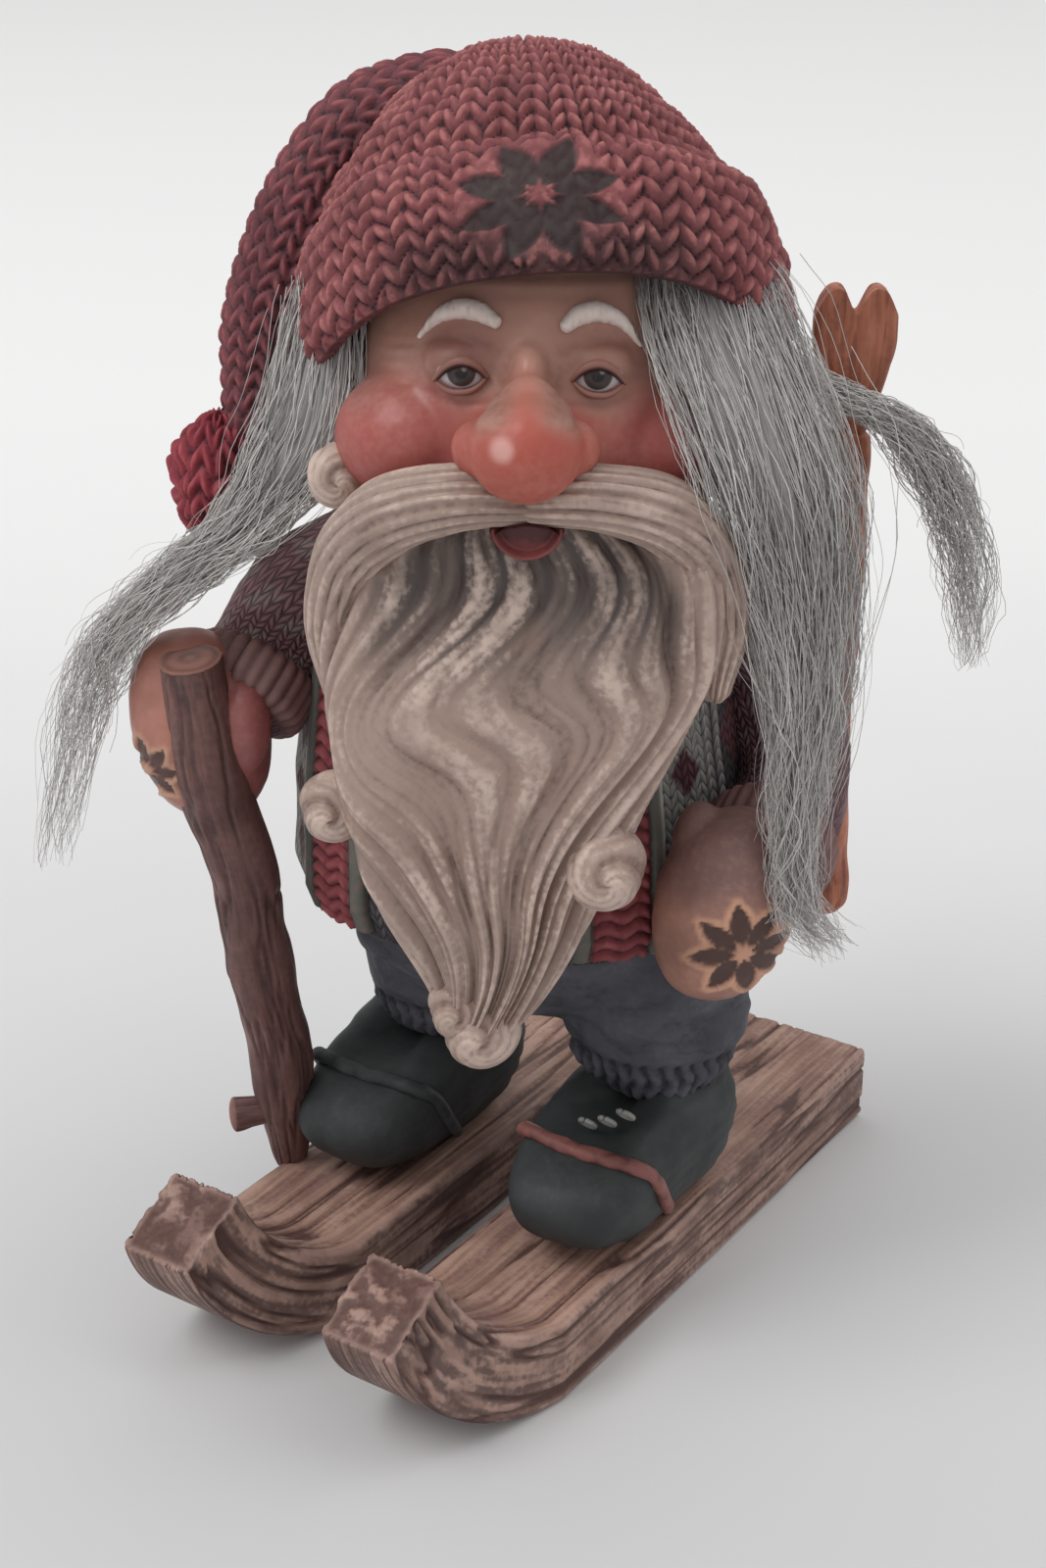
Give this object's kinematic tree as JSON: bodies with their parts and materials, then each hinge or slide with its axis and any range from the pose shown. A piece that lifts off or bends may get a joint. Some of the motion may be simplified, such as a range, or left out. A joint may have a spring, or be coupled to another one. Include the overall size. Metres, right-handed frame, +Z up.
{
  "type": "gnome figurine",
  "caption": "Small painted gnome figurine on skis, with a knitted hat, a long beard, a staff and hanks of grey fibre hair.",
  "frame": {"origin": "on the floor under the skis, at the middle of the whole object's bounding box", "axes": "+Z up, -Y towards the ski tips, so the gnome's own left side is +X"},
  "size_m": [0.0722, 0.0816, 0.1229],
  "materials": {
    "painted_resin": "hand-painted cast resin, satin on the face",
    "hair_fibre": "loose fine fibre"
  },
  "bodies": {
    "root": {"gnome_casting": "painted_resin", "hair_right": "hair_fibre", "hair_left_front": "hair_fibre", "hair_left_back": "hair_fibre"}
  },
  "joints": []
}
